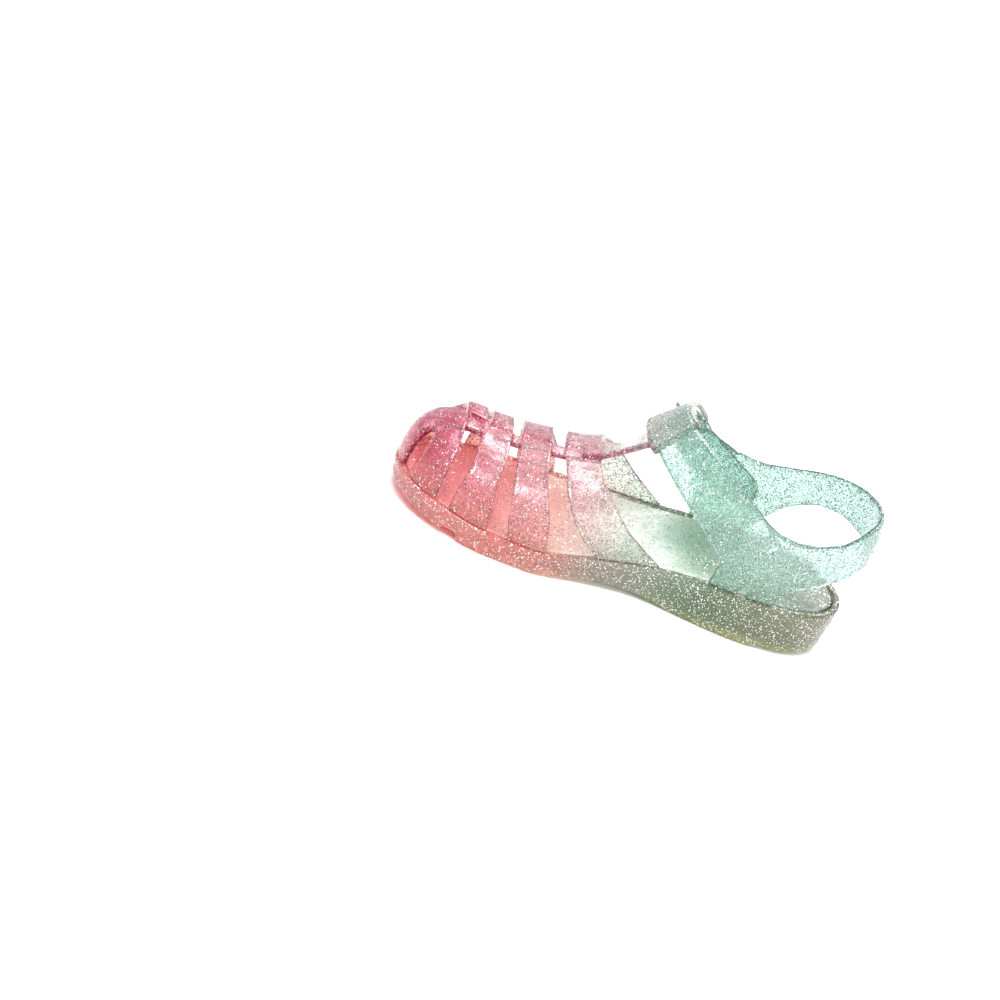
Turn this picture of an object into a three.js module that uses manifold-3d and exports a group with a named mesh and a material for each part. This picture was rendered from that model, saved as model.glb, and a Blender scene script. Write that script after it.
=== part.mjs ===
// A child's moulded jelly sandal, right foot, standing empty on its sole.
// Millimetres, +Z up, toe towards -Y, medial (big toe) side towards +X.
import * as THREE from 'three';
import { mergeVertices } from 'three/addons/utils/BufferGeometryUtils.js';
import Module from 'manifold-3d';

const wasm = await Module();
wasm.setup();

// Driving sizes
const soleLength = 170;
const ballWidth = 66;
const rimWidth = 3.0;
const rimEdge = 0.5;
const recessDepth = 1.8;
const insoleThickness = 1.2;
const seatGap = 0.3;
const cageWall = 2.2;
const medialCrossingRise = 1.1;
const lateralCrossingRise = 2.2;
const crossingSeamX = 2.0;
const innerRiseShare = 0.5;
const quarterWall = 2.1;
const strapThickness = 2.0;
const sleeveWall = 1.6;
const tBarThickness = 2.3;
const bottomInset = 1.2;
const sideGrooveDepth = 0.6;
const lugLength = 5.2;
const lugHeight = 1.7;
const lugPitch = 12.6;
const lugCount = 6;
const treadPitch = 9;
const treadWidth = 1.8;
const treadDepth = 0.9;
const treadCount = 4;
const toeNotchWidth = 5.5;
const toeNotchDepth = 2.2;
const heelNotchWidth = 3.0;
const heelNotchDepth = 1.6;
const drainWidth = 3.4;
const drainHeight = 2.6;
const medialDrainY = 44.8;
const lateralDrainY = 37.4;
const buckleWire = 1.7;
const buckleSideGap = 0.7;
const eyeWall = 1.0;
const prongWidth = 1.6;
const prongThickness = 1.1;
const prongReach = 1.2;
const prongHoleWidth = 2.8;
const prongHoleLength = 8.2;

// Mesh resolution
const outlineSteps = 52;
const archSteps = 10;
const ribbonSteps = 30;
const roundSides = 16;

// Sole outline: t runs from the back of the heel (0) to the tip of the toe (1),
// and medial and lateral are the edges' distances from the centre line, as shares of the ball width.
const outlineRows = [
  { t: 0.00, medial: 0.000, lateral: 0.000 },
  { t: 0.03, medial: 0.215, lateral: 0.215 },
  { t: 0.07, medial: 0.305, lateral: 0.310 },
  { t: 0.12, medial: 0.360, lateral: 0.365 },
  { t: 0.22, medial: 0.388, lateral: 0.395 },
  { t: 0.42, medial: 0.340, lateral: 0.420 },
  { t: 0.55, medial: 0.405, lateral: 0.470 },
  { t: 0.68, medial: 0.500, lateral: 0.500 },
  { t: 0.78, medial: 0.495, lateral: 0.470 },
  { t: 0.87, medial: 0.440, lateral: 0.385 },
  { t: 0.94, medial: 0.350, lateral: 0.262 },
  { t: 0.98, medial: 0.235, lateral: 0.120 },
  { t: 1.00, medial: 0.070, lateral: -0.070 },
];

// Heights of the rim's top and of the sole's underside along the length, in millimetres
const sideRows = [
  { t: 0.00, rim: 18.8, under: 1.0 },
  { t: 0.15, rim: 18.8, under: 1.0 },
  { t: 0.16, rim: 18.7, under: 0.0 },
  { t: 0.30, rim: 17.6, under: 0.0 },
  { t: 0.34, rim: 16.8, under: 0.2 },
  { t: 0.50, rim: 12.8, under: 2.2 },
  { t: 0.63, rim: 9.9, under: 0.2 },
  { t: 0.66, rim: 9.5, under: 0.0 },
  { t: 0.76, rim: 9.4, under: 0.0 },
  { t: 0.86, rim: 10.2, under: 1.4 },
  { t: 0.94, rim: 11.4, under: 3.4 },
  { t: 1.00, rim: 12.6, under: 5.2 },
];

// Ridge of the last over the foot: height and sideways place of its crown
const ridgeRows = [
  { y: -65, x: 3.2, z: 33.7 },
  { y: -59, x: 3.0, z: 32.8 },
  { y: -55, x: 2.8, z: 32.5 },
  { y: -50, x: 2.6, z: 32.7 },
  { y: -44, x: 2.5, z: 33.4 },
  { y: -37, x: 2.5, z: 34.6 },
  { y: -30, x: 2.5, z: 35.6 },
  { y: -23, x: 2.5, z: 37.4 },
  { y: -19, x: 2.5, z: 39.2 },
  { y: -8, x: 2.5, z: 44.5 },
  { y: 10, x: 2.0, z: 51.0 },
  { y: 28, x: 1.0, z: 56.0 },
];
const lastBackY = 27;
const toeSquareness = 2.7;
const instepSquareness = 2.35;

// Toe band and spine, seen from above: half the width on each side of the ridge
const spineRows = [
  { y: -90, half: 12.0 },
  { y: -82, half: 10.0 },
  { y: -76, half: 7.6 },
  { y: -66, half: 6.2 },
  { y: -58, half: 4.6 },
  { y: -50, half: 3.5 },
  { y: -19, half: 3.5 },
];

// Side straps, seen from the side: front and rear edge of each, as y at a height z
const strapRows = [
  {
    front: [[8, -79.4], [13, -79.0], [21, -77.6], [27, -76.2], [52, -75.2]],
    lateralFront: [[8, -78.2], [13, -77.6], [21, -75.4], [27, -71.0], [31, -67.6], [52, -66.6]],
    rear: [[8, -68.3], [13, -68.0], [21, -67.6], [27, -66.9], [52, -66.2]],
    lateralRear: [[8, -66.4], [13, -66.0], [21, -64.6], [27, -61.6], [31, -59.4], [52, -59.0]],
  },
  {
    front: [[8, -63.0], [13, -62.8], [21, -62.2], [27, -60.8], [52, -60.0]],
    lateralFront: [[8, -61.2], [13, -60.8], [21, -59.9], [27, -58.4], [31, -57.5], [52, -57.2]],
    rear: [[8, -48.0], [19, -49.2], [26, -50.3], [31, -49.6], [52, -49.5]],
  },
  {
    front: [[6, -40.2], [12, -41.2], [26, -44.8], [31, -46.0], [54, -46.0]],
    rear: [[6, -24.8], [10, -25.6], [21, -28.8], [31, -34.2], [36, -35.6], [54, -35.6]],
  },
  {
    front: [
      [7, -2.0], [11, -6.0], [17, -14.6], [22.5, -20.0], [30, -26.4], [35, -29.4], [38, -32.2], [60, -32.4],
    ],
    rear: [
      [9, 23.0], [14.5, 17.2], [18.5, 9.0], [24.3, -0.4], [32, -9.2], [37, -15.8], [40, -18.8], [60, -19.0],
    ],
  },
];

// Wall of the quarters and heel strap: how far it stands outside the sole's rim at each height
const bulgeRows = [
  { z: 8, out: -0.2 },
  { z: 18, out: 0.0 },
  { z: 30, out: 1.6 },
  { z: 42, out: 2.0 },
  { z: 50, out: 1.4 },
  { z: 60, out: -1.6 },
];
const wallTop = 60;

// Quarter and heel strap in the side view, [y, z] around each side's outline from the front foot up
const medialQuarter = [
  [32.0, 6], [31.6, 15.7], [32.8, 21], [32.9, 26], [31.2, 29.6], [25.6, 33.0], [22.4, 36.0],
  [31.0, 54.6], [35.2, 52.4], [42.0, 48.6], [46.5, 47.0], [54.0, 46.2], [62.0, 47.2],
  [70.0, 50.0], [78.0, 55.0], [84.0, 57.6], [95.0, 57.8],
  [95.0, 40.4], [86.0, 40.4], [83.0, 39.4], [80.0, 38.0], [73.0, 34.0], [64.3, 29.4], [60.0, 26.2],
  [57.4, 22.0], [57.0, 18], [57.6, 6],
];
const lateralQuarter = [
  [25.8, 6], [25.4, 16], [25.0, 19], [22.6, 24.6], [21.0, 28.0], [26.0, 33.6],
  [33.0, 46.6], [38.8, 46.0], [45.0, 46.6], [54.0, 49.4], [62.0, 52.2],
  [70.0, 54.8], [78.0, 56.8], [84.0, 57.6], [95.0, 57.8],
  [95.0, 40.4], [86.0, 40.4], [83.0, 41.0], [75.7, 41.8], [67.8, 40.2], [60.5, 36.4], [55.2, 31.8],
  [52.0, 27.4], [49.8, 23.0], [49.0, 18], [49.2, 6],
];

const strapEdges = ['front', 'rear'];

// Ankle strap: front and rear edges from the medial quarter over the instep, through the buckle
// and on as a free tail outside the lateral strap, to its round end
const wrapRows = [
  { front: [25.2, 39.0, 27.5], rear: [25.6, 48.0, 42.0] },
  { front: [24.7, 31.6, 30.4], rear: [25.2, 40.6, 48.4] },
  { front: [24.0, 22.6, 36.0], rear: [23.4, 31.0, 54.2] },
  { front: [22.2, 13.0, 42.6], rear: [20.4, 21.6, 59.4] },
  { front: [19.2, 3.8, 49.2], rear: [16.2, 12.8, 63.6] },
  { front: [15.4, -2.6, 53.8], rear: [11.6, 6.6, 65.8] },
  { front: [10.0, -5.7, 56.2], rear: [7.2, 4.0, 66.6] },
  { front: [4.0, -6.2, 56.7], rear: [2.2, 3.6, 66.6] },
  { front: [-2.0, -5.3, 56.0], rear: [-3.4, 4.7, 65.6] },
  { front: [-8.0, -2.7, 54.2], rear: [-9.2, 7.6, 63.4] },
  { front: [-13.8, 0.4, 51.8], rear: [-14.6, 10.9, 60.6] },
  { front: [-18.3, 2.7, 49.2], rear: [-19.0, 13.1, 58.4] },
  { front: [-21.6, 7.0, 45.0], rear: [-22.3, 17.0, 54.4] },
  { front: [-25.6, 13.4, 39.8], rear: [-26.0, 22.8, 49.2] },
  { front: [-28.6, 21.6, 34.3], rear: [-28.8, 28.6, 45.3] },
  { front: [-29.5, 29.0, 30.2], rear: [-29.6, 35.0, 41.4] },
  { front: [-29.6, 36.1, 27.0], rear: [-29.7, 40.9, 38.6] },
  { front: [-29.5, 42.0, 26.6], rear: [-29.6, 45.0, 35.4] },
  { front: [-29.5, 45.4, 28.4], rear: [-29.5, 46.6, 32.2] },
];
// The lateral strap that carries the buckle, from below its looped end down to the lateral quarter
const lateralRows = [
  { front: [-19.0, 7.8, 44.0], rear: [-19.8, 18.2, 53.6] },
  { front: [-23.4, 13.0, 38.0], rear: [-23.8, 24.0, 49.8] },
  { front: [-26.6, 19.4, 32.0], rear: [-26.6, 31.2, 46.6] },
  { front: [-27.2, 27.0, 26.6], rear: [-27.2, 39.0, 42.0] },
];
const sleeveFrom = 0.285;
const sleeveTo = 0.425;
const frontBarPlace = 0.492;
const rearBarPlace = 0.568;

// T-bar: its medial and lateral edges from the throat up to the sleeve, twisted between them
const tBarRows = [
  { medial: [9.0, -25.0, 38.4], lateral: [-4.0, -25.0, 37.8] },
  { medial: [9.4, -18.8, 41.4], lateral: [-3.4, -18.2, 40.4] },
  { medial: [10.2, -12.2, 47.2], lateral: [-1.8, -10.2, 44.8] },
  { medial: [11.4, -7.0, 52.2], lateral: [-0.6, -6.4, 51.0] },
  { medial: [12.4, -2.6, 56.2], lateral: [0.4, -3.4, 57.0] },
];

// A smooth curve through a table's rows that never overshoots them
function through(rows, key, value, warp = (v) => v) {
  const xs = rows.map((row) => warp(row[key]));
  const ys = rows.map((row) => row[value]);
  const last = xs.length - 1;
  const slopes = xs.slice(1).map((x, i) => (ys[i + 1] - ys[i]) / (x - xs[i]));
  const tangents = ys.map((_, i) => {
    if (i === 0) return slopes[0];
    if (i === last) return slopes[last - 1];
    if (slopes[i - 1] * slopes[i] <= 0) return 0;
    return 2 * slopes[i - 1] * slopes[i] / (slopes[i - 1] + slopes[i]);
  });
  return (v) => {
    const x = THREE.MathUtils.clamp(warp(v), xs[0], xs[last]);
    let i = 0;
    while (i < last - 1 && x > xs[i + 1]) i += 1;
    const h = xs[i + 1] - xs[i];
    const s = (x - xs[i]) / h;
    const a = (1 + 2 * s) * (1 - s) ** 2 * ys[i] + s * (1 - s) ** 2 * h * tangents[i];
    return a + s * s * (3 - 2 * s) * ys[i + 1] + s * s * (s - 1) * h * tangents[i + 1];
  };
}

const roundEnds = (t) => Math.acos(1 - 2 * t);
const medialShare = through(outlineRows, 't', 'medial', roundEnds);
const lateralShare = through(outlineRows, 't', 'lateral', roundEnds);
const rimAt = through(sideRows, 't', 'rim');
const underAt = through(sideRows, 't', 'under');
const shareAlong = (y) => THREE.MathUtils.clamp(0.5 - y / soleLength, 0, 1);
const rimZ = (y) => rimAt(shareAlong(y));
const underZ = (y) => underAt(shareAlong(y));

// A point of the outline: v runs 0 to 1 up the medial side and 1 to 2 back down the lateral side
function outlinePoint(v) {
  const lap = ((v % 2) + 2) % 2;
  const medial = lap <= 1;
  const t = (1 - Math.cos(Math.PI * (medial ? lap : 2 - lap))) / 2;
  const x = ballWidth * (medial ? medialShare(t) : -lateralShare(t));
  return new THREE.Vector2(x, soleLength * (0.5 - t));
}

// The same point moved inwards by an inset, square to the outline
function insetPoint(v, inset) {
  const step = 0.25 / outlineSteps;
  const along = outlinePoint(v + step).sub(outlinePoint(v - step)).normalize();
  const point = outlinePoint(v);
  return new THREE.Vector2(point.x - inset * -along.y, point.y - inset * along.x);
}

// A closed body from a list of triangles, each three points, with its faces turned outwards
function bodyFrom(triangles) {
  const build = (list) => {
    const geometry = new THREE.BufferGeometry();
    const flat = list.flat().flatMap((p) => [p.x, p.y, p.z]);
    geometry.setAttribute('position', new THREE.BufferAttribute(new Float32Array(flat), 3));
    return solid(geometry);
  };
  const body = build(triangles);
  return body.volume() > 0 ? body : build(triangles.map(([a, b, c]) => [a, c, b]));
}

// A solid for cutting and joining; slivers that merge away are dropped
function solid(geometry) {
  const plain = geometry.clone();
  plain.deleteAttribute('normal');
  plain.deleteAttribute('uv');
  const merged = mergeVertices(plain, 1e-4);
  const index = merged.index.array;
  const triVerts = [];
  for (let i = 0; i < index.length; i += 3) {
    const [a, b, c] = [index[i], index[i + 1], index[i + 2]];
    if (a !== b && b !== c && c !== a) triVerts.push(a, b, c);
  }
  return new wasm.Manifold(new wasm.Mesh({
    numProp: 3,
    vertProperties: new Float32Array(merged.attributes.position.array),
    triVerts: new Uint32Array(triVerts),
  }));
}

const quad = (a, b, c, d) => [[a, b, c], [a, c, d]];

// A body through rings of equal count, each ring listed the same way round, closed by cross strips
function stackRings(rings) {
  const triangles = [];
  const count = rings[0].length;
  for (let r = 0; r + 1 < rings.length; r += 1) {
    for (let k = 0; k < count; k += 1) {
      const n = (k + 1) % count;
      triangles.push(...quad(rings[r][k], rings[r][n], rings[r + 1][n], rings[r + 1][k]));
    }
  }
  const bottom = rings[0];
  const top = rings[rings.length - 1];
  for (let k = 0; k < count / 2; k += 1) {
    const across = (count - k) % count;
    const acrossNext = count - k - 1;
    triangles.push(...quad(bottom[k], bottom[across], bottom[acrossNext], bottom[k + 1]));
    triangles.push(...quad(top[k], top[k + 1], top[acrossNext], top[across]));
  }
  return bodyFrom(triangles);
}

function outlineRing(inset, height) {
  const ring = [];
  for (let k = 0; k < 2 * outlineSteps; k += 1) {
    const p = insetPoint(k / outlineSteps, inset);
    ring.push(new THREE.Vector3(p.x, p.y, height(p.y)));
  }
  return ring;
}

// A prism with a side-view outline [y, z], running along X between two planes
function sidePrism(outline, fromX, toX) {
  const shape = new THREE.Shape(outline.map(([y, z]) => new THREE.Vector2(y, z)));
  const geometry = new THREE.ExtrudeGeometry(shape, { depth: toX - fromX, bevelEnabled: false });
  const turn = new THREE.Matrix4().makeBasis(
    new THREE.Vector3(0, 1, 0), new THREE.Vector3(0, 0, 1), new THREE.Vector3(1, 0, 0));
  geometry.applyMatrix4(turn);
  geometry.translate(fromX, 0, 0);
  return solid(geometry);
}

// A prism with a plan-view outline [x, y], standing between two heights
function planPrism(outline, fromZ, toZ) {
  const shape = new THREE.Shape(outline.map(([x, y]) => new THREE.Vector2(x, y)));
  const geometry = new THREE.ExtrudeGeometry(shape, { depth: toZ - fromZ, bevelEnabled: false });
  geometry.translate(0, 0, fromZ);
  return solid(geometry);
}

function placedBox(length, width, height, matrix) {
  const geometry = new THREE.BoxGeometry(length, width, height);
  geometry.applyMatrix4(matrix);
  return solid(geometry);
}

// Local axes of a band given as rows with two named edges, at a share of its length
function bandAt(rows, edges) {
  const curve = (name) => new THREE.CatmullRomCurve3(
    rows.map((row) => new THREE.Vector3(...row[name])), false, 'centripetal');
  const [one, other] = edges.map(curve);
  return (u) => {
    const [a, b] = [one.getPoint(u), other.getPoint(u)];
    const across = b.clone().sub(a).normalize();
    const along = one.getTangent(u).add(other.getTangent(u)).normalize();
    const normal = new THREE.Vector3().crossVectors(across, along).normalize();
    return { a, b, across, along, normal };
  };
}

// A band of even thickness between its two edges; grow thickens and widens it
function ribbon(rows, edges, thickness, { grow = 0, from = 0, to = 1, steps = ribbonSteps } = {}) {
  const at = bandAt(rows, edges);
  const sections = [];
  for (let i = 0; i <= steps; i += 1) {
    const { a, b, across, normal } = at(THREE.MathUtils.lerp(from, to, i / steps));
    const half = thickness / 2 + grow;
    const bevel = 0.3 * half;
    const corner = (base, side, lift) => base.clone()
      .addScaledVector(across, side).addScaledVector(normal, lift);
    sections.push([
      corner(a, -grow, half - bevel), corner(a, -grow + bevel, half),
      corner(b, grow - bevel, half), corner(b, grow, half - bevel),
      corner(b, grow, -half + bevel), corner(b, grow - bevel, -half),
      corner(a, -grow + bevel, -half), corner(a, -grow, -half + bevel),
    ]);
  }
  const triangles = [];
  const count = sections[0].length;
  for (let i = 0; i < steps; i += 1) {
    for (let k = 0; k < count; k += 1) {
      const n = (k + 1) % count;
      triangles.push(...quad(sections[i][k], sections[i][n], sections[i + 1][n], sections[i + 1][k]));
    }
  }
  for (let k = 1; k + 1 < count; k += 1) {
    triangles.push([sections[0][0], sections[0][k + 1], sections[0][k]]);
    triangles.push([sections[steps][0], sections[steps][k], sections[steps][k + 1]]);
  }
  return bodyFrom(triangles);
}

// Outsole: raised rim, side groove with lugs, tread and notches
function outsole() {
  const between = (share) => (y) => THREE.MathUtils.lerp(underZ(y), rimZ(y), share);
  const groove = (y) => sideGrooveDepth * THREE.MathUtils.smoothstep(shareAlong(y), 0.42, 0.55);
  const grooveRing = (share, extra) => {
    const ring = [];
    for (let k = 0; k < 2 * outlineSteps; k += 1) {
      const v = k / outlineSteps;
      const depth = extra + groove(outlinePoint(v).y);
      const p = insetPoint(v, depth);
      ring.push(new THREE.Vector3(p.x, p.y, between(share)(p.y)));
    }
    return ring;
  };
  let body = stackRings([
    outlineRing(bottomInset + 0.8, underZ),
    outlineRing(bottomInset, (y) => underZ(y) + 0.7),
    outlineRing(0.9, between(0.30)),
    grooveRing(0.36, 0.7),
    grooveRing(0.60, 0.4),
    outlineRing(0.1, between(0.66)),
    outlineRing(0, (y) => rimZ(y) - rimEdge),
    outlineRing(rimEdge, rimZ),
    outlineRing(rimWidth - 0.3, rimZ),
    outlineRing(rimWidth, (y) => rimZ(y) - recessDepth),
  ]);
  const crossCut = (y, width, depth, fromZ) => placedBox(2 * ballWidth, width, depth + 2,
    new THREE.Matrix4().makeTranslation(0, y, fromZ + depth / 2 - 1));
  const treadFrontY = soleLength * -0.292;
  for (let i = 0; i < treadCount; i += 1) {
    body = body.subtract(crossCut(treadFrontY + i * treadPitch, treadWidth, treadDepth, 0));
  }
  const toeNotchY = soleLength * -0.350;
  body = body.subtract(crossCut(toeNotchY, toeNotchWidth, toeNotchDepth, underZ(toeNotchY)));
  const heelNotchY = soleLength * 0.352;
  body = body.subtract(crossCut(heelNotchY, heelNotchWidth, heelNotchDepth, 0));
  for (const side of [1, -1]) {
    for (let i = 0; i < lugCount; i += 1) {
      body = body.add(sideLug(side, soleLength * -0.03 - i * lugPitch));
    }
  }
  return body;
}

// A short raised lug in the groove of the sole's side
function sideLug(side, y) {
  const place = roundEnds(shareAlong(y)) / Math.PI;
  const v = side > 0 ? place : 2 - place;
  const p = insetPoint(v, 0.7);
  const ahead = insetPoint(v + 0.2 / outlineSteps, 0.7).sub(p);
  const turn = new THREE.Matrix4().makeRotationZ(Math.atan2(ahead.y, ahead.x));
  turn.setPosition(p.x, p.y, THREE.MathUtils.lerp(underZ(y), rimZ(y), 0.48));
  return placedBox(lugLength, 1.4, lugHeight, turn);
}

function insole() {
  const inset = rimWidth + seatGap;
  const floor = (y) => rimZ(y) - recessDepth + seatGap;
  return stackRings([
    outlineRing(inset, floor),
    outlineRing(inset, (y) => floor(y) + 0.7 * insoleThickness),
    outlineRing(inset + 0.5, (y) => floor(y) + insoleThickness),
  ]);
}

// The hollow shell over the foot, from the rim to the ridge; lift raises its crown
function lastShell(lift) {
  const ridgeX = through(ridgeRows, 'y', 'x');
  const ridgeZ = through(ridgeRows, 'y', 'z');
  const poleY = ridgeRows[0].y;
  const firstStep = Math.ceil(outlineSteps * Math.acos(2 * lastBackY / soleLength) / Math.PI);
  const columns = [];
  for (let k = firstStep; k <= 2 * outlineSteps - firstStep; k += 1) {
    const v = k / outlineSteps;
    const side = (inset, drop, rise) => {
      const foot = insetPoint(v, inset);
      const plan = outlinePoint(v);
      const crownY = Math.max(plan.y, poleY);
      const crown = new THREE.Vector3(ridgeX(crownY), crownY, ridgeZ(crownY) - drop);
      const base = rimZ(foot.y) + seatGap;
      const power = plan.y < poleY ? toeSquareness : THREE.MathUtils.lerp(
        toeSquareness, instepSquareness, THREE.MathUtils.smoothstep(plan.y, poleY, poleY + 25));
      const line = [];
      for (let j = 0; j <= archSteps; j += 1) {
        const angle = (j / archSteps) * Math.PI / 2;
        const outward = j === archSteps ? 0 : Math.cos(angle) ** (2 / power);
        const upward = Math.sin(angle) ** (2 / power);
        const raise = rise * THREE.MathUtils.smoothstep(j / archSteps, 0.42, 0.8);
        line.push(new THREE.Vector3(
          THREE.MathUtils.lerp(crown.x, foot.x, outward),
          j === archSteps ? crown.y : THREE.MathUtils.lerp(crown.y, foot.y, outward),
          THREE.MathUtils.lerp(base, crown.z, upward) + raise));
      }
      return line;
    };
    columns.push({
      outer: side(seatGap, 0, lift),
      inner: side(seatGap + cageWall, cageWall, innerRiseShare * lift),
    });
  }
  const triangles = [];
  for (let c = 0; c + 1 < columns.length; c += 1) {
    const [here, next] = [columns[c], columns[c + 1]];
    for (let j = 0; j < archSteps; j += 1) {
      triangles.push(...quad(here.outer[j], next.outer[j], next.outer[j + 1], here.outer[j + 1]));
      triangles.push(...quad(here.inner[j], here.inner[j + 1], next.inner[j + 1], next.inner[j]));
    }
    triangles.push(...quad(here.outer[0], here.inner[0], next.inner[0], next.outer[0]));
  }
  const [first, end] = [columns[0], columns[columns.length - 1]];
  for (let j = 0; j < archSteps; j += 1) {
    triangles.push(...quad(first.outer[j], first.outer[j + 1], first.inner[j + 1], first.inner[j]));
    triangles.push(...quad(end.outer[j], end.inner[j], end.inner[j + 1], end.outer[j + 1]));
  }
  return bodyFrom(triangles);
}

// Upper cage: toe band and spine, four straps each side over them, T-bar and sleeve
function upperCage() {
  const ridgeX = through(ridgeRows, 'y', 'x');
  const medialEdge = spineRows.map(({ y, half }) => [ridgeX(y) + half, y]);
  const lateralEdge = spineRows.map(({ y, half }) => [ridgeX(y) - half, y]);
  const spine = lastShell(0).intersect(
    planPrism([...lateralEdge, ...medialEdge.reverse()].reverse(), 0, 70));
  const halves = [
    { shell: lastShell(medialCrossingRise), fromX: crossingSeamX, toX: ballWidth, side: 'medial' },
    { shell: lastShell(lateralCrossingRise), fromX: -ballWidth, toX: crossingSeamX, side: 'lateral' },
  ];
  const straps = strapRows.flatMap((rows) => halves.map(({ shell, fromX, toX, side }) => {
    const front = rows[`${side}Front`] ?? rows.front;
    const rear = rows[`${side}Rear`] ?? rows.rear;
    const outline = [...front, ...rear.slice().reverse()].map(([z, y]) => [y, z]);
    return shell.intersect(sidePrism(outline.reverse(), fromX, toX));
  }));
  const tunnel = { grow: seatGap, from: sleeveFrom - 0.12, to: sleeveTo + 0.12 };
  const sleeve = ribbon(wrapRows, strapEdges, strapThickness,
    { grow: seatGap + sleeveWall, from: sleeveFrom, to: sleeveTo, steps: 12 });
  const tBar = ribbon(tBarRows, ['medial', 'lateral'], tBarThickness, { steps: 14 });
  let cage = spine;
  for (const strap of straps) cage = cage.add(strap);
  cage = cage.add(tBar).add(sleeve);
  return cage.subtract(ribbon(wrapRows, strapEdges, strapThickness, tunnel));
}

// Wall that follows the heel's outline between two places on it
function heelWall(from, to) {
  const bulge = through(bulgeRows, 'z', 'out');
  const steps = 24;
  const levels = 9;
  const columns = [];
  for (let i = 0; i <= steps; i += 1) {
    const v = THREE.MathUtils.lerp(from, to, i / steps);
    const line = (offset) => {
      const points = [];
      const base = rimZ(outlinePoint(v).y) + seatGap;
      for (let j = 0; j <= levels; j += 1) {
        const z = THREE.MathUtils.lerp(base, wallTop, j / levels);
        const p = insetPoint(v, rimEdge + quarterWall / 2 - bulge(z) - offset);
        points.push(new THREE.Vector3(p.x, p.y, z));
      }
      return points;
    };
    columns.push([...line(quarterWall / 2), ...line(-quarterWall / 2).reverse()]);
  }
  const triangles = [];
  const count = columns[0].length;
  for (let c = 0; c < steps; c += 1) {
    for (let k = 0; k < count; k += 1) {
      const n = (k + 1) % count;
      triangles.push(...quad(columns[c][k], columns[c + 1][k], columns[c + 1][n], columns[c][n]));
    }
  }
  const half = count / 2;
  for (let k = 0; k + 1 < half; k += 1) {
    const back = count - 1 - k;
    triangles.push(...quad(columns[0][k], columns[0][k + 1], columns[0][back - 1], columns[0][back]));
    const end = columns[steps];
    triangles.push(...quad(end[k], end[back], end[back - 1], end[k + 1]));
  }
  return bodyFrom(triangles);
}

const placeAt = (y) => roundEnds(shareAlong(y)) / Math.PI;

// A round bar between two points, as a closed body
function bar(from, to, radius) {
  const geometry = new THREE.CylinderGeometry(radius, radius, from.distanceTo(to), roundSides);
  const turn = new THREE.Quaternion().setFromUnitVectors(
    new THREE.Vector3(0, 1, 0), to.clone().sub(from).normalize());
  geometry.applyQuaternion(turn);
  geometry.translate(...from.clone().add(to).multiplyScalar(0.5).toArray());
  return solid(geometry);
}

// The buckle's two bars: the front one outside the ankle strap, the rear one inside it
function buckleBars() {
  const at = bandAt(wrapRows, strapEdges);
  const clear = strapThickness / 2 + seatGap + buckleWire / 2;
  const place = (u, lift) => {
    const { a, b, across, along, normal } = at(u);
    const centre = a.clone().add(b).multiplyScalar(0.5).addScaledVector(normal, lift);
    const width = a.distanceTo(b);
    return { centre, across, along, normal, width };
  };
  return {
    front: place(frontBarPlace, clear),
    rear: place(rearBarPlace, -clear - eyeWall - seatGap),
  };
}

const alongBar = ({ centre, across }, distance) => centre.clone().addScaledVector(across, distance);

// Wire frame of the buckle: a rounded rectangle through the ends of its two bars
function buckle() {
  const { front, rear } = buckleBars();
  const half = Math.max(front.width, rear.width) / 2 + buckleSideGap + buckleWire / 2;
  const corners = [alongBar(front, -half), alongBar(front, half), alongBar(rear, half), alongBar(rear, -half)];
  const path = new THREE.CurvePath();
  const cut = 1.6 * buckleWire;
  corners.forEach((corner, i) => {
    const before = corners[(i + 3) % 4].clone().sub(corner).normalize();
    const after = corners[(i + 1) % 4].clone().sub(corner).normalize();
    const next = corners[(i + 1) % 4].clone().addScaledVector(after, -cut);
    const [start, end] = [before, after].map((to) => corner.clone().addScaledVector(to, cut));
    path.add(new THREE.QuadraticBezierCurve3(start, corner, end));
    path.add(new THREE.LineCurve3(end, next));
  });
  const points = path.curves.flatMap((curve) => curve.getSpacedPoints(5).slice(0, -1));
  const round = new THREE.CatmullRomCurve3(points, true, 'centripetal');
  return solid(new THREE.TubeGeometry(round, points.length, buckleWire / 2, 8, true));
}

// Prong: an eye round the rear bar and a tongue through the strap and over the front bar
function prong() {
  const { front, rear } = buckleBars();
  const eyeRadius = buckleWire / 2 + seatGap + eyeWall;
  const along = front.centre.clone().sub(rear.centre).projectOnPlane(rear.across).normalize();
  const normal = new THREE.Vector3().crossVectors(along, rear.across);
  const reach = front.centre.distanceTo(rear.centre) + prongReach;
  const turn = new THREE.Matrix4().makeBasis(along, rear.across, normal);
  turn.setPosition(rear.centre.clone().addScaledVector(along, reach / 2)
    .addScaledVector(normal, buckleWire / 2 + seatGap + prongThickness / 2));
  const tongue = placedBox(reach, prongWidth, prongThickness, turn);
  const half = prongWidth / 2;
  const eye = bar(alongBar(rear, -half), alongBar(rear, half), eyeRadius);
  const bore = bar(alongBar(rear, -2 * half), alongBar(rear, 2 * half), eyeRadius - eyeWall);
  return eye.add(tongue).subtract(bore);
}

// A small arched opening in the quarter's foot, as a side-view outline
function drainOutline(y) {
  const base = rimZ(y);
  const outline = [[y - drainWidth / 2, base - 1], [y + drainWidth / 2, base - 1]];
  for (let i = 0; i <= archSteps; i += 1) {
    const angle = Math.PI * i / archSteps;
    const rise = 0.4 * drainHeight + 0.6 * drainHeight * Math.sin(angle);
    outline.push([y + 0.5 * drainWidth * Math.cos(angle), base + seatGap + rise]);
  }
  return outline;
}

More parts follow.
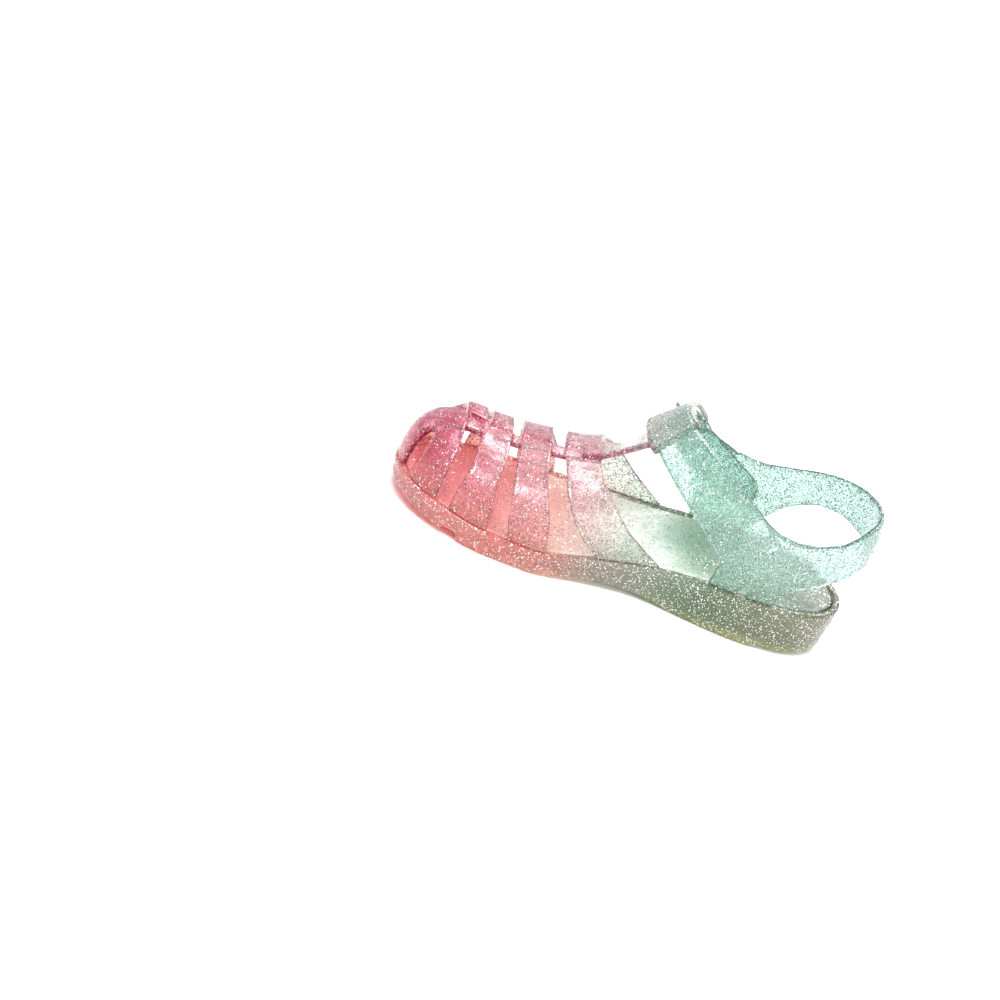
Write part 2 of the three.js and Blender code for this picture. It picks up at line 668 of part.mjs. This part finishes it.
// Ankle and heel strap: quarters, heel strap, ankle strap with its tail, and the buckle's strap
function ankleStrap() {
  const medial = heelWall(0, placeAt(12)).intersect(sidePrism(medialQuarter.slice().reverse(), -1, 60));
  const lateral = heelWall(-placeAt(2), 0).intersect(sidePrism(lateralQuarter.slice().reverse(), -60, 1));
  const { rear } = buckleBars();
  const half = rear.width / 2;
  const loopEnd = { front: alongBar(rear, -half).toArray(), rear: alongBar(rear, half).toArray() };
  const eyeRadius = buckleWire / 2 + seatGap + eyeWall;
  const slot = new THREE.Matrix4().makeBasis(rear.across, rear.along, rear.normal);
  const slotAt = (depth) => slot.clone().setPosition(rear.centre.clone().addScaledVector(rear.normal, depth));
  let body = ribbon([loopEnd, ...lateralRows], strapEdges, strapThickness, { steps: 16 });
  body = body.add(bar(alongBar(rear, -half), alongBar(rear, half), eyeRadius));
  body = body.subtract(bar(alongBar(rear, -ballWidth), alongBar(rear, ballWidth), eyeRadius - eyeWall));
  body = body.subtract(placedBox(prongHoleWidth, 2.6 * eyeRadius, 2.6 * eyeRadius, slotAt(0)));
  let wrap = ribbon(wrapRows, strapEdges, strapThickness, { steps: 48 });
  const holeCentre = slotAt(eyeRadius + strapThickness / 2)
    .multiply(new THREE.Matrix4().makeTranslation(0, -prongHoleLength / 2 + prongThickness, 0));
  wrap = wrap.subtract(placedBox(prongHoleWidth, prongHoleLength, 3 * strapThickness, holeCentre));
  body = body.add(wrap).add(medial).add(lateral);
  body = body.subtract(sidePrism(drainOutline(medialDrainY), 0, ballWidth));
  return body.subtract(sidePrism(drainOutline(lateralDrainY), -ballWidth, 0));
}

const colours = {
  outsole: { color: 0xc98f6a, roughness: 0.35, metalness: 0 },
  insole: { color: 0xb9a58e, roughness: 0.45, metalness: 0 },
  upper_cage: { color: 0xf08a9c, roughness: 0.2, metalness: 0 },
  ankle_strap: { color: 0x9adcc8, roughness: 0.2, metalness: 0 },
  buckle: { color: 0xb9bbbf, roughness: 0.3, metalness: 1 },
  buckle_prong: { color: 0xb9bbbf, roughness: 0.3, metalness: 1 },
};

function meshOf(name, body) {
  const { vertProperties, triVerts } = body.getMesh();
  const geometry = new THREE.BufferGeometry();
  geometry.setAttribute('position', new THREE.BufferAttribute(new Float32Array(vertProperties), 3));
  geometry.setIndex(new THREE.BufferAttribute(new Uint32Array(triVerts), 1));
  geometry.computeVertexNormals();
  const mesh = new THREE.Mesh(geometry, new THREE.MeshStandardMaterial(colours[name]));
  mesh.name = name;
  return mesh;
}

const sandal = new THREE.Group();
sandal.add(meshOf('outsole', outsole()));
sandal.add(meshOf('insole', insole()));
sandal.add(meshOf('upper_cage', upperCage()));
sandal.add(meshOf('ankle_strap', ankleStrap()));
sandal.add(meshOf('buckle', buckle()));
sandal.add(meshOf('buckle_prong', prong()));

const box = new THREE.Box3().setFromObject(sandal);
const centre = box.getCenter(new THREE.Vector3());
for (const mesh of sandal.children) mesh.geometry.translate(-centre.x, -centre.y, -box.min.z);

export default sandal;
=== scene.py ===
# %% [markdown]
# # A jelly sandal
# A child's sandal moulded in one go from clear PVC with silver glitter in it. The colour of the
# plastic drifts from hot pink at the toe through nearly clear at the instep to mint at the ankle,
# and the thick sole goes from coral to olive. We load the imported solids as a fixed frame, and give
# each of them a smooth moulded skin, its depth of colour and its glitter.

# %% Load the frame
import bisect
import math
import random

import bmesh
import bpy
from mathutils import Matrix, Vector
from mathutils.bvhtree import BVHTree


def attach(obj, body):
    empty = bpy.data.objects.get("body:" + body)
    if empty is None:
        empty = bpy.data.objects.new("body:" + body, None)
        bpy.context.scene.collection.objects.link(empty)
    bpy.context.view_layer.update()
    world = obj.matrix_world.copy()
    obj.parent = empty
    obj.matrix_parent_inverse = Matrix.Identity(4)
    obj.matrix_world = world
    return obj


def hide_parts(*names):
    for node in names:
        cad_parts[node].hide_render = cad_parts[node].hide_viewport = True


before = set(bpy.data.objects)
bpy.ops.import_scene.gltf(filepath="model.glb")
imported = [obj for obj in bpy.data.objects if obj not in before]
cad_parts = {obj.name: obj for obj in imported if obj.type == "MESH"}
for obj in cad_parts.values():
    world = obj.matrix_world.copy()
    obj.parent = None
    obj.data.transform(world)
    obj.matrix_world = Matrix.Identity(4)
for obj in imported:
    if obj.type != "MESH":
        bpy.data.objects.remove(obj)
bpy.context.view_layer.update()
MM = 0.001
print("nodes:", sorted(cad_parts))

# %% [markdown]
# ## The camera
# The photograph looks at the inner side of a right shoe that leans back on its heel. Our shoe
# stands on the floor, so the camera rolls instead. Its place and lens come from a fit to points of
# the sole's edge and the straps, and the small shift puts the shoe where it is in the picture.

# %% Camera
CAMERA_TURN = math.radians(10.96)
CAMERA_RISE = math.radians(27.11)
CAMERA_ROLL = math.radians(26.23)
CAMERA_DISTANCE = 0.9084
CAMERA_TARGET = Vector((0.0, -0.75 * MM, 0.0))
SENSOR = 36.0
FOCAL_SHARE = 2.5178
SHIFT = (-0.10535, 0.05831)

towards = Vector((math.cos(CAMERA_RISE) * math.cos(CAMERA_TURN),
                  -math.cos(CAMERA_RISE) * math.sin(CAMERA_TURN),
                  math.sin(CAMERA_RISE)))
level = Vector((math.sin(CAMERA_TURN), math.cos(CAMERA_TURN), 0.0))
above = towards.cross(level)
right = math.cos(CAMERA_ROLL) * level + math.sin(CAMERA_ROLL) * above
upward = -math.sin(CAMERA_ROLL) * level + math.cos(CAMERA_ROLL) * above
camera = bpy.data.objects.new("camera", bpy.data.cameras.new("camera"))
bpy.context.scene.collection.objects.link(camera)
bpy.context.scene.camera = camera
camera.data.sensor_width = SENSOR
camera.data.lens = SENSOR * FOCAL_SHARE
camera.data.shift_x, camera.data.shift_y = SHIFT
turn = Matrix((right, upward, towards)).transposed().to_4x4()
camera.matrix_world = Matrix.Translation(CAMERA_TARGET + CAMERA_DISTANCE * towards) @ turn
print("camera at", [round(v, 3) for v in camera.location])

# %% [markdown]
# ## Small helpers
# A hex colour as a maker would write it is in sRGB, and Blender's sockets want linear light, so one
# function turns it. Another adds a node with its settings, its links and, for a colour ramp, its
# stops. The rest pick one object and apply one modifier to it.


# %% Helpers
def linear(code):
    parts = [int(code[i:i + 2], 16) / 255 for i in (1, 3, 5)]
    return tuple(c / 12.92 if c <= 0.04045 else ((c + 0.055) / 1.055) ** 2.4
                 for c in parts) + (1.0,)


def add(tree, kind, links=None, stops=(), **settings):
    made = tree.nodes.new(kind)
    for key, value in settings.items():
        setattr(made, key, value)
    for socket, source in (links or {}).items():
        if isinstance(source, bpy.types.NodeSocket):
            tree.links.new(source, made.inputs[socket])
        else:
            made.inputs[socket].default_value = source
    if stops:
        colours = made.color_ramp.elements
        while len(colours) < len(stops):
            colours.new(0.5)
        for element, (place, code) in zip(colours, stops):
            element.position = place
            element.color = linear(code)
    return made


def new_material(name):
    made = bpy.data.materials.new(name)
    made.use_nodes = True
    made.node_tree.nodes.clear()
    return made, made.node_tree


def only(piece):
    bpy.ops.object.select_all(action="DESELECT")
    piece.select_set(True)
    bpy.context.view_layer.objects.active = piece


def apply_modifier(piece, kind, **settings):
    only(piece)
    modifier = piece.modifiers.new(kind.lower(), kind)
    for key, value in settings.items():
        setattr(modifier, key, value)
    bpy.ops.object.modifier_apply(modifier=modifier.name)


# %% [markdown]
# ## A moulded skin
# Injection moulding leaves no sharp edge: steel moulds are polished and every corner has a small
# radius. A copy of each solid is merged, rebuilt as small even cells with the Remesh modifier, and
# relaxed with Smooth. The cells are about half a millimetre, so the lugs and grooves stay.


# %% Moulded skins
MERGE_DISTANCE = 0.004 * MM


def merged_copy(node, name):
    piece = bpy.data.objects.new(name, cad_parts[node].data.copy())
    bpy.context.scene.collection.objects.link(piece)
    piece.data.materials.clear()
    mesh = bmesh.new()
    mesh.from_mesh(piece.data)
    bmesh.ops.remove_doubles(mesh, verts=mesh.verts, dist=MERGE_DISTANCE)
    mesh.to_mesh(piece.data)
    mesh.free()
    return piece


def moulded(node, name, cell, passes):
    piece = merged_copy(node, name)
    apply_modifier(piece, "REMESH", mode="VOXEL", voxel_size=cell, use_smooth_shade=True)
    apply_modifier(piece, "SMOOTH", factor=0.5, iterations=passes)
    for polygon in piece.data.polygons:
        polygon.use_smooth = True
    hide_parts(node)
    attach(piece, "root")
    print(name, len(piece.data.polygons), "faces")
    return piece


sole_body = moulded("outsole", "sole_body", cell=0.6 * MM, passes=8)
footbed = moulded("insole", "footbed", cell=0.6 * MM, passes=4)
cage_straps = moulded("upper_cage", "cage_straps", cell=0.46 * MM, passes=14)
ankle_band = moulded("ankle_strap", "ankle_band", cell=0.44 * MM, passes=14)

# %% [markdown]
# ## Depth of colour
# Clear plastic looks darker where light goes a long way through it, as along a strap's cut edges.
# For each point of the straps we measure how far it is straight in to the other side, even it out
# with the neighbours, and keep it as an attribute which the material reads. The sole and footbed
# are thick all over, so they need none.

# %% Depth attribute
STRAP_REACH = 9 * MM
UNDER_SKIN = 0.05 * MM
EVENING_PASSES = 3


def measure_depth(piece, farthest):
    mesh = piece.data
    tree = BVHTree.FromPolygons([v.co for v in mesh.vertices], [p.vertices for p in mesh.polygons])
    depth = [0.0] * len(mesh.vertices)
    for vertex in mesh.vertices:
        start = vertex.co - UNDER_SKIN * vertex.normal
        hit = tree.ray_cast(start, -vertex.normal, farthest)
        depth[vertex.index] = hit[3] / farthest if hit[3] is not None else 1.0
    for _ in range(EVENING_PASSES):
        total, count = depth[:], [1] * len(depth)
        for edge in mesh.edges:
            a, b = edge.vertices
            total[a] += depth[b]
            total[b] += depth[a]
            count[a] += 1
            count[b] += 1
        depth = [t / c for t, c in zip(total, count)]
    layer = mesh.attributes.new("depth", "FLOAT", "POINT")
    layer.data.foreach_set("value", depth)
    print(piece.name, "mean depth", round(sum(depth) / len(depth) * farthest / MM, 2), "mm")


for strap_piece in (cage_straps, ankle_band):
    measure_depth(strap_piece, STRAP_REACH)

# %% [markdown]
# ## Jelly PVC
# Soft clear PVC has an index of refraction near 1.5 and comes out of a polished mould glossy, so
# roughness is low. It is a little cloudy: part of it scatters light and the rest lets it through.
# The colour is a ramp along the shoe, which wanders a little because the coloured melts run into
# each other. A second ramp is for the part near the floor, and a deeper one for where the plastic
# is thick. Clear plastic casts a soft coloured shadow, so shadow rays pass through it.

# %% Jelly material
TOE_Y, HEEL_Y = -86 * MM, 86 * MM
MELT_WANDER = 0.06
MELT_SCALE = 60.0  # patches about 17 mm across
RIPPLE_SCALE = 260.0  # the mould's polish leaves ripples about 4 mm long
THIN_SHARE, THICK_SHARE = 0.26, 0.75  # of STRAP_REACH


def jelly(name, surface, clearness, roughness, low=(), low_height=(), deep=()):
    made, tree = new_material(name)
    place = add(tree, "ShaderNodeTexCoord").outputs["Object"]
    axes = add(tree, "ShaderNodeSeparateXYZ", {"Vector": place})
    melt = add(tree, "ShaderNodeTexNoise", {"Vector": place, "Scale": MELT_SCALE, "Detail": 2.0})
    along = add(tree, "ShaderNodeMapRange", {
        "Value": axes.outputs["Y"], "From Min": TOE_Y, "From Max": HEEL_Y})
    wander = add(tree, "ShaderNodeMath", {
        0: melt.outputs["Fac"], 1: MELT_WANDER, 2: -MELT_WANDER / 2}, operation="MULTIPLY_ADD")
    share = add(tree, "ShaderNodeMath", {0: along.outputs["Result"], 1: wander.outputs[0]},
                operation="ADD").outputs[0]
    colour = add(tree, "ShaderNodeValToRGB", {"Fac": share}, stops=surface).outputs["Color"]
    if low:
        height = add(tree, "ShaderNodeMapRange", {
            "Value": axes.outputs["Z"], "From Min": low_height[0], "From Max": low_height[1]})
        lower = add(tree, "ShaderNodeValToRGB", {"Fac": share}, stops=low).outputs["Color"]
        colour = add(tree, "ShaderNodeMix", {
            "Factor": height.outputs["Result"], 6: lower, 7: colour}, data_type="RGBA").outputs[2]
    if deep:
        depth = add(tree, "ShaderNodeAttribute", attribute_name="depth").outputs["Fac"]
        thick = add(tree, "ShaderNodeMapRange", {
            "Value": depth, "From Min": THIN_SHARE, "From Max": THICK_SHARE})
        deeper = add(tree, "ShaderNodeValToRGB", {"Fac": share}, stops=deep).outputs["Color"]
        colour = add(tree, "ShaderNodeMix", {
            "Factor": thick.outputs["Result"], 6: colour, 7: deeper}, data_type="RGBA").outputs[2]
    ripple = add(tree, "ShaderNodeTexNoise", {
        "Vector": place, "Scale": RIPPLE_SCALE, "Detail": 2.0})
    bump = add(tree, "ShaderNodeBump", {
        "Height": ripple.outputs["Fac"], "Strength": 0.22, "Distance": 0.5 * MM})
    skin = add(tree, "ShaderNodeBsdfPrincipled", {
        "Base Color": colour, "Roughness": roughness, "IOR": 1.5,
        "Transmission Weight": clearness, "Normal": bump.outputs["Normal"]})
    clear = add(tree, "ShaderNodeBsdfTransparent", {"Color": colour})
    ray = add(tree, "ShaderNodeLightPath").outputs["Is Shadow Ray"]
    mix = add(tree, "ShaderNodeMixShader", {0: ray, 1: skin.outputs["BSDF"],
                                            2: clear.outputs["BSDF"]})
    add(tree, "ShaderNodeOutputMaterial", {"Surface": mix.outputs["Shader"]})
    return made


# %% [markdown]
# ## Four colour runs
# Each number is a share of the way from toe to heel. The straps are thin and let nearly all light
# through. The sole and the footbed are thick and full of glitter, so they are cloudier, and the
# footbed is a little duller where a sock rubs it.

# %% Strap, sole and footbed colours
cage_pvc = jelly(
    "pink_to_clear_pvc", clearness=0.9, roughness=0.14,
    surface=[(0.0, "#DC7490"), (0.1, "#ECA2B4"), (0.2, "#F8D0D8"), (0.36, "#F6D8DC"),
             (0.44, "#F4F0EC"), (0.52, "#D8ECE4"), (0.6, "#D0E8E0")],
    low=[(0.0, "#EA9A90"), (0.14, "#E8A094"), (0.24, "#E8A296"), (0.34, "#EAB8AA"),
         (0.46, "#D0CEC0"), (0.6, "#C8CCBC")],
    low_height=(10 * MM, 26 * MM),
    deep=[(0.0, "#CC2450"), (0.25, "#C43A62"), (0.4, "#BC4A6C"), (0.5, "#B0607C"),
          (0.6, "#B83058")])
ankle_pvc = jelly(
    "mint_pvc", clearness=0.9, roughness=0.14,
    surface=[(0.4, "#DCF2EA"), (0.5, "#CDECE2"), (0.62, "#C4E6DA"), (0.8, "#C6E6DC"),
             (1.0, "#C6E4DC")],
    low=[(0.4, "#A4CCB8"), (0.55, "#98C4AE"), (0.7, "#A4CAB4"), (0.85, "#B0C6AA"),
         (1.0, "#B0C6AA")],
    low_height=(16 * MM, 30 * MM),
    deep=[(0.4, "#5CB09C"), (0.55, "#439884"), (0.75, "#44907E"), (0.9, "#509E8E"),
          (1.0, "#5AA898")])
sole_pvc = jelly(
    "coral_to_olive_pvc", clearness=0.5, roughness=0.2,
    surface=[(0.0, "#E08884"), (0.25, "#DC8078"), (0.36, "#CC8474"), (0.45, "#A39684"),
             (0.55, "#8C9482"), (0.62, "#748A6C"), (0.68, "#5A7454"), (0.85, "#7C8264"),
             (1.0, "#7C8068")],
    low=[(0.0, "#E08478"), (0.25, "#E08A78"), (0.38, "#E0B49A"), (0.5, "#A0A484"),
         (0.66, "#8E9860"), (0.85, "#B0B464"), (1.0, "#B4B86C")],
    low_height=(0.5 * MM, 5 * MM))
footbed_pvc = jelly(
    "footbed_pvc", clearness=0.45, roughness=0.3,
    surface=[(0.0, "#E29898"), (0.22, "#DEA096"), (0.36, "#DEB8AA"), (0.5, "#EAEEE6"),
             (0.58, "#ECF2EA"), (0.68, "#A0B4A0"), (0.9, "#868F80")])
for piece, finish, slot_name in ((sole_body, sole_pvc, "sole_jelly"),
                                 (footbed, footbed_pvc, "insole_jelly"),
                                 (cage_straps, cage_pvc, "cage_jelly"),
                                 (ankle_band, ankle_pvc, "strap_jelly")):
    piece.data.materials.append(finish)
    print(piece.name, "is", finish.name)

# %% [markdown]
# ## Glitter
# The glitter is stamped from silvered film, flat flakes frozen at every angle in the plastic. The
# real flakes are finer, and these are about 0.4 mm across so that they show in the render. Against
# the light they are dark specks, and where they face a lamp they flash, and this is painted into
# the flakes' colour: each flake gets a random level from dark grey, a painted shade, to white, a
# painted highlight. Each piece gets one mesh of small flakes, sown under its skin at seeded random
# depths.
# Some lie in the skin itself, which is what gives the thick, cloudy sole its sparkle.

# %% Silvered film
FLAKE = 0.44 * MM


def silver_film():
    made, tree = new_material("silvered_film")
    # The attribute paints light into the film's colour: low levels are painted shade, dark grey
    # specks, and high levels are painted highlights, white flashes.
    painted_shade_and_glint = add(tree, "ShaderNodeAttribute", attribute_name="painted_shade_and_glint").outputs["Fac"]
    colour = add(tree, "ShaderNodeValToRGB", {"Fac": painted_shade_and_glint}, stops=[
        (0.0, "#4E4448"), (0.4, "#8E8486"), (0.62, "#D8D2D0"), (1.0, "#FFFFFF")])
    film = add(tree, "ShaderNodeBsdfPrincipled", {
        "Base Color": colour.outputs["Color"], "Metallic": 0.7, "Roughness": 0.3})
    add(tree, "ShaderNodeOutputMaterial", {"Surface": film.outputs["BSDF"]})
    return made


film_finish = silver_film()

# %% Glitter flakes
SHALLOWEST = 0.3 * FLAKE
SKIN_RISE = 0.06 * MM  # a flake in the skin stands this far out of it
SKIN_LEVEL, INNER_LEVEL = 4.0, 0.9  # how much a flake keeps to the lie of the skin


def sow_glitter(piece, name, count, deepest, in_skin, seed):
    dice = random.Random(seed)
    mesh = piece.data
    mesh.calc_loop_triangles()
    tree = BVHTree.FromPolygons([v.co for v in mesh.vertices], [p.vertices for p in mesh.polygons])
    triangles = mesh.loop_triangles
    areas = []
    total = 0.0
    for triangle in triangles:
        total += triangle.area
        areas.append(total)
    points, faces, painted_shade_and_glint_levels = [], [], []
    for _ in range(count):
        pick = bisect.bisect(areas, dice.random() * total)
        triangle = triangles[min(pick, len(triangles) - 1)]
        a, b, c = (mesh.vertices[i].co for i in triangle.vertices)
        s, t = dice.random(), dice.random()
        if s + t > 1:
            s, t = 1 - s, 1 - t
        spot = a + s * (b - a) + t * (c - a)
        normal = (b - a).cross(c - a).normalized()
        through = tree.ray_cast(spot - UNDER_SKIN * normal, -normal, 4 * deepest)[3]
        room = min(deepest, (through or deepest) - FLAKE)
        if room < 0.5 * FLAKE:
            continue
        skinned = dice.random() < in_skin
        depth = -SKIN_RISE if skinned else SHALLOWEST + dice.random() * (room - SHALLOWEST)
        centre = spot - depth * normal
        tilt = Vector([dice.gauss(0, 1) for _ in range(3)])
        keeping = SKIN_LEVEL if skinned else INNER_LEVEL
        facing = (normal * keeping + tilt.normalized()).normalized()
        spin = Matrix.Rotation(dice.random() * math.tau, 3, facing)
        side = spin @ facing.orthogonal().normalized()
        other = facing.cross(side)
        size = FLAKE * (0.35 + 0.3 * dice.random())
        base = len(points)
        points += [centre + size * side, centre + size * other,
                   centre - size * side, centre - size * other]
        faces.append((base, base + 1, base + 2, base + 3))
        # Each flake gets a random level of painted shade and painted highlight for its colour.
        painted_shade_and_glint_levels.append(dice.random())
    flakes = bpy.data.meshes.new(name)
    flakes.from_pydata(points, [], faces)
    flakes.attributes.new("painted_shade_and_glint", "FLOAT", "FACE").data.foreach_set("value", painted_shade_and_glint_levels)
    made = bpy.data.objects.new(name, flakes)
    bpy.context.scene.collection.objects.link(made)
    made.data.materials.append(film_finish)
    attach(made, "root")
    print(name, len(faces), "flakes")


sow_glitter(sole_body, "sole_glitter", count=76000, deepest=1.6 * MM, in_skin=0.5, seed=3)
sow_glitter(footbed, "footbed_glitter", count=36000, deepest=1.2 * MM, in_skin=0.6, seed=5)
sow_glitter(cage_straps, "cage_glitter", count=44000, deepest=2.2 * MM, in_skin=0.15, seed=7)
sow_glitter(ankle_band, "ankle_glitter", count=40000, deepest=2.1 * MM, in_skin=0.15, seed=11)

# %% [markdown]
# ## The buckle
# Bent steel wire, nickel plated in a barrel, so it is bright with a soft haze. The wire solid's
# shape is right but faceted, so a merged copy is subdivided once, which rounds it. The prong is
# stamped flat, and a small bevel takes the sharpness off its edges.

# %% Nickel plate
HAZE_SCALE = 900.0  # patches about 1 mm across


def nickel():
    made, tree = new_material("nickel_plated_steel")
    place = add(tree, "ShaderNodeTexCoord").outputs["Object"]
    haze = add(tree, "ShaderNodeTexNoise", {"Vector": place, "Scale": HAZE_SCALE, "Detail": 3.0})
    gloss = add(tree, "ShaderNodeMapRange", {
        "Value": haze.outputs["Fac"], "To Min": 0.16, "To Max": 0.34})
    plate = add(tree, "ShaderNodeBsdfPrincipled", {
        "Base Color": linear("#C9C6C0"), "Metallic": 1.0, "Roughness": gloss.outputs["Result"]})
    add(tree, "ShaderNodeOutputMaterial", {"Surface": plate.outputs["BSDF"]})
    return made


nickel_finish = nickel()

# %% Buckle wire and prong
EDGE_BEVEL = 0.2 * MM
SHARP_ANGLE = math.radians(40)

buckle_wire = merged_copy("buckle", "buckle_wire")
apply_modifier(buckle_wire, "SUBSURF", levels=1, render_levels=1)
for polygon in buckle_wire.data.polygons:
    polygon.use_smooth = True

buckle_tongue = merged_copy("buckle_prong", "buckle_tongue")
apply_modifier(buckle_tongue, "BEVEL", width=EDGE_BEVEL, segments=2, angle_limit=SHARP_ANGLE)
only(buckle_tongue)
bpy.ops.object.shade_smooth_by_angle(angle=SHARP_ANGLE)

for piece, node in ((buckle_wire, "buckle"), (buckle_tongue, "buckle_prong")):
    piece.data.materials.append(nickel_finish)
    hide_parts(node)
    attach(piece, "root")
    print(piece.name, len(piece.data.polygons), "faces")

# %% [markdown]
# ## Floor and light
# A product photograph on white: a large pale floor, a bright even surround, a soft key from above
# on the camera's side, a low strip near the heel that gives the long highlight along the straps,
# and a wide light behind that shines through the clear plastic.

# %% Stage
FLOOR_SIZE = 8.0
FLOOR_Z = -0.2 * MM
SURROUND = 0.85


def area_light(name, place, size, power):
    lamp = bpy.data.lights.new(name, "AREA")
    lamp.shape = "SQUARE"
    lamp.size = size
    lamp.energy = power
    made = bpy.data.objects.new(name, lamp)
    bpy.context.scene.collection.objects.link(made)
    made.location = place
    made.rotation_euler = (-Vector(place)).to_track_quat("-Z", "Y").to_euler()


bpy.ops.mesh.primitive_plane_add(size=FLOOR_SIZE, location=(0, 0, FLOOR_Z))
floor = bpy.context.object
floor.name = "floor"
floor_finish, floor_tree = new_material("white_paper")
paper = add(floor_tree, "ShaderNodeBsdfPrincipled", {
    "Base Color": linear("#FAFAFA"), "Roughness": 0.9})
add(floor_tree, "ShaderNodeOutputMaterial", {"Surface": paper.outputs["BSDF"]})
floor.data.materials.append(floor_finish)
world = bpy.data.worlds.new("studio")
bpy.context.scene.world = world
world.use_nodes = True
world.node_tree.nodes["Background"].inputs["Color"].default_value = (1, 1, 1, 1)
world.node_tree.nodes["Background"].inputs["Strength"].default_value = SURROUND
area_light("key", place=(0.5, -0.3, 0.9), size=0.35, power=9.0)
area_light("strip", place=(0.7, 0.5, 0.45), size=0.2, power=3.0)
area_light("back", place=(-0.6, 0.3, 0.7), size=0.5, power=6.0)
bpy.context.scene.view_settings.view_transform = "Standard"
